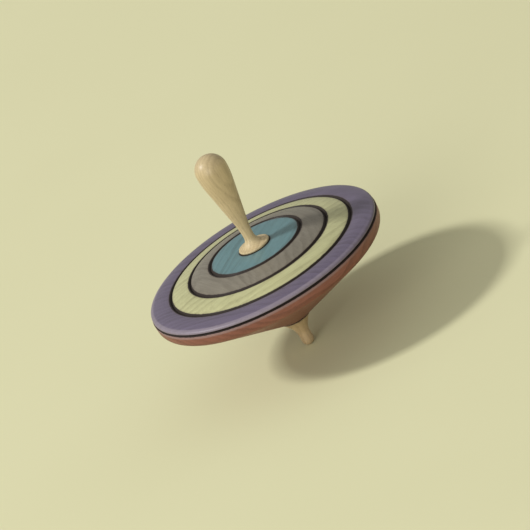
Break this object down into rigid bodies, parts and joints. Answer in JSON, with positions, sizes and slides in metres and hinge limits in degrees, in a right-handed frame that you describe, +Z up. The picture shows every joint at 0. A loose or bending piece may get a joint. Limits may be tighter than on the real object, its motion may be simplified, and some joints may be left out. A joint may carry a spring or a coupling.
{
  "type": "spinning top",
  "caption": "Hand-twirled wooden spinning top: a shallow disc inlaid with nested coloured rings over a cone, with a club-shaped handle above and a round-tipped foot below.",
  "frame": {"origin": "lowest point of the foot's round tip, on the spin axis, where the top touches the table as it spins upright", "axes": "+Z up the spin axis, from the foot towards the handle; +X and +Y are any two directions across it, because the top is a body of revolution"},
  "size_m": [0.08, 0.08, 0.073],
  "materials": {
    "brown_stained_wood": "satin",
    "violet_stained_wood": "satin",
    "cream_green_stained_wood": "satin",
    "grey_brown_stained_wood": "satin",
    "blue_green_stained_wood": "satin",
    "pale_wood": "satin"
  },
  "bodies": {
    "root": {"lower_body": "brown_stained_wood", "rim_ring": "violet_stained_wood", "outer_inlay_ring": "cream_green_stained_wood", "inner_inlay_ring": "grey_brown_stained_wood", "centre_disc": "blue_green_stained_wood", "handle": "pale_wood", "foot": "pale_wood"}
  },
  "joints": []
}
